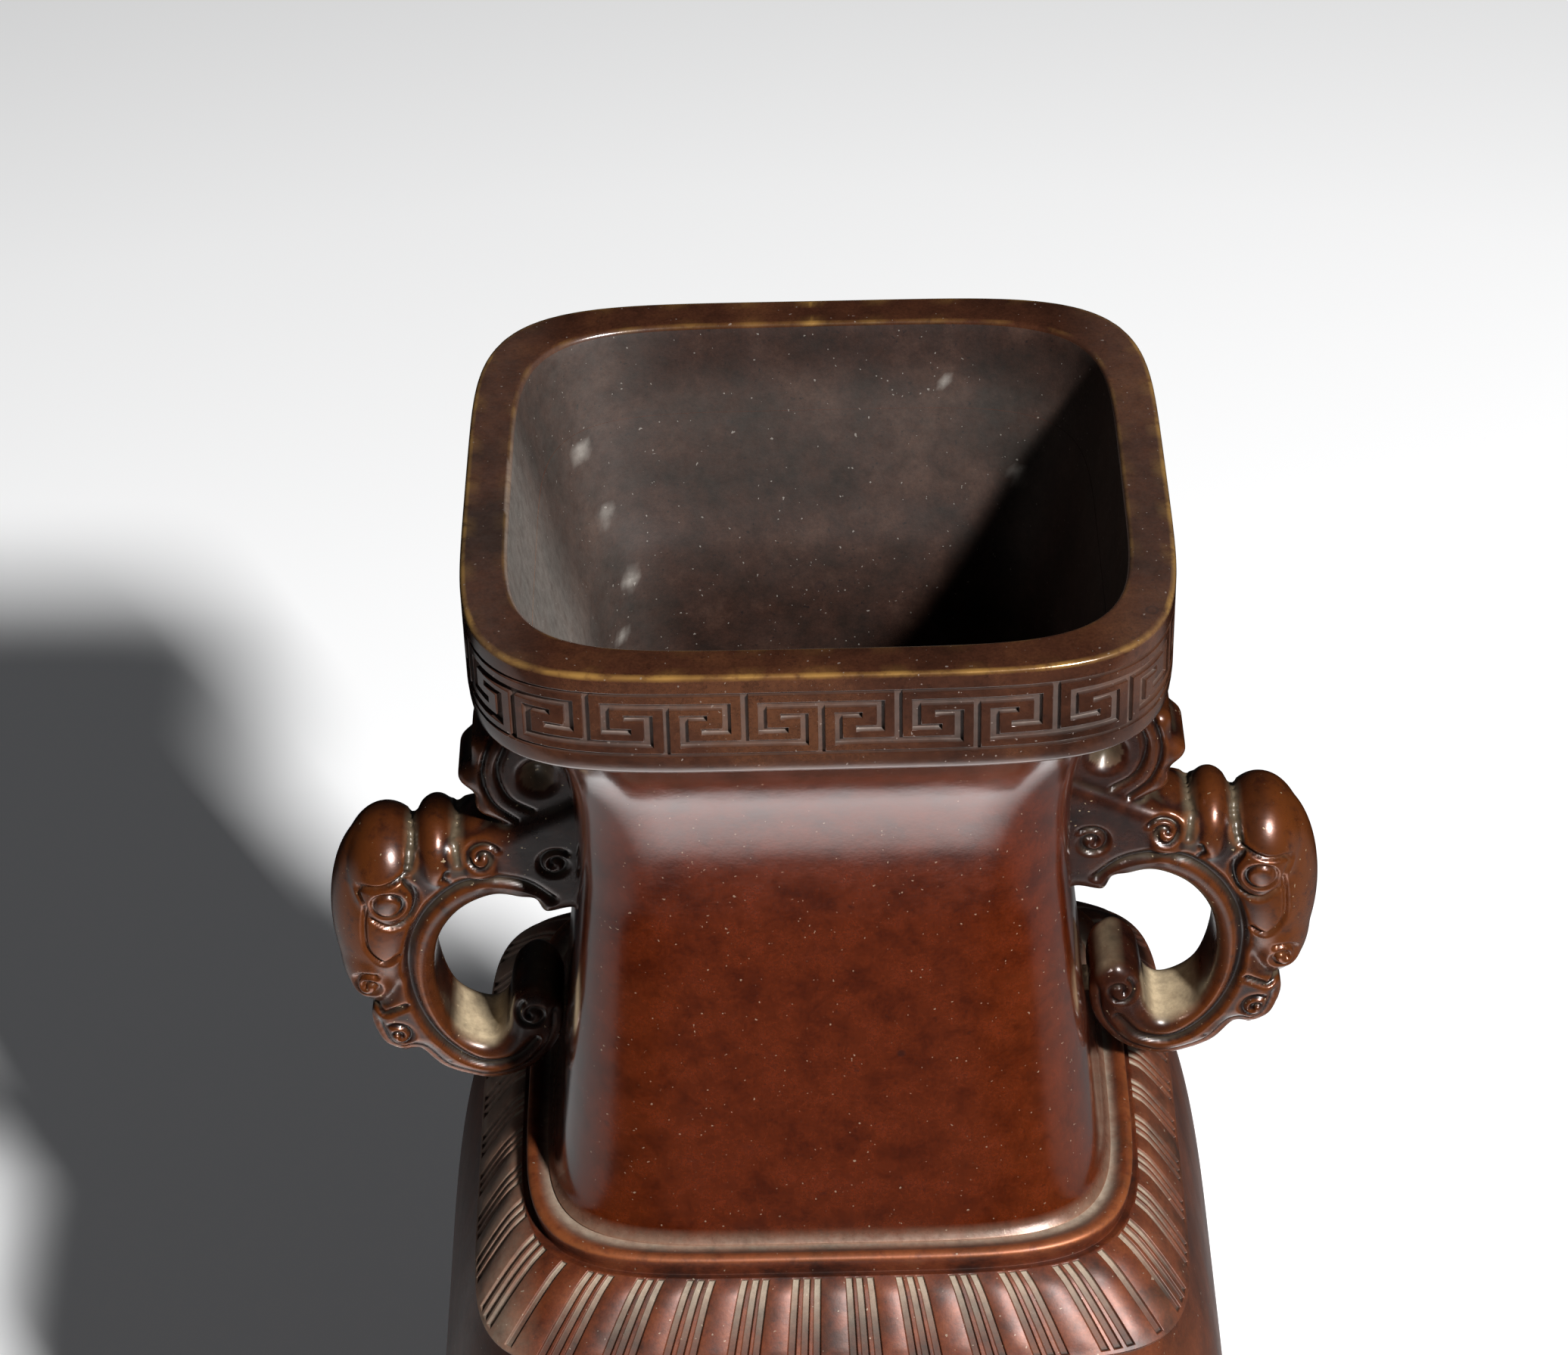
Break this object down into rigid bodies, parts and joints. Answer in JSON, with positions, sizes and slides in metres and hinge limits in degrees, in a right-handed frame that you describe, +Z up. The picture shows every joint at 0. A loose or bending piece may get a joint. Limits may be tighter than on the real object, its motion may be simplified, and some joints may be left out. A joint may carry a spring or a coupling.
{
  "type": "bronze vase",
  "caption": "Tall rounded square bronze vase with a key fret collar, waisted neck, petal shoulder and two beast head loop handles.",
  "frame": {"origin": "middle of the foot's resting rim, on the table plane", "axes": "+Z up to the mouth, +X to the right hand handle, +Y from the front to the back"},
  "size_m": [0.1812, 0.1442, 0.38],
  "materials": {
    "patinated_bronze": "polished dark red brown patina on cast bronze",
    "worn_bronze": "brown patina worn to orange brown on the high places",
    "underside_bronze": "matt dark oxidised bronze",
    "pin_bronze": "filed and patinated bronze"
  },
  "bodies": {
    "root": {"foot": "patinated_bronze", "base_plate": "underside_bronze", "belly": "patinated_bronze", "shoulder": "patinated_bronze", "neck": "patinated_bronze", "mouth_collar": "patinated_bronze", "left_handle": "worn_bronze", "right_handle": "worn_bronze", "upper_handle_pins": "pin_bronze", "lower_handle_pins": "pin_bronze", "core_plugs": "pin_bronze"}
  },
  "joints": []
}
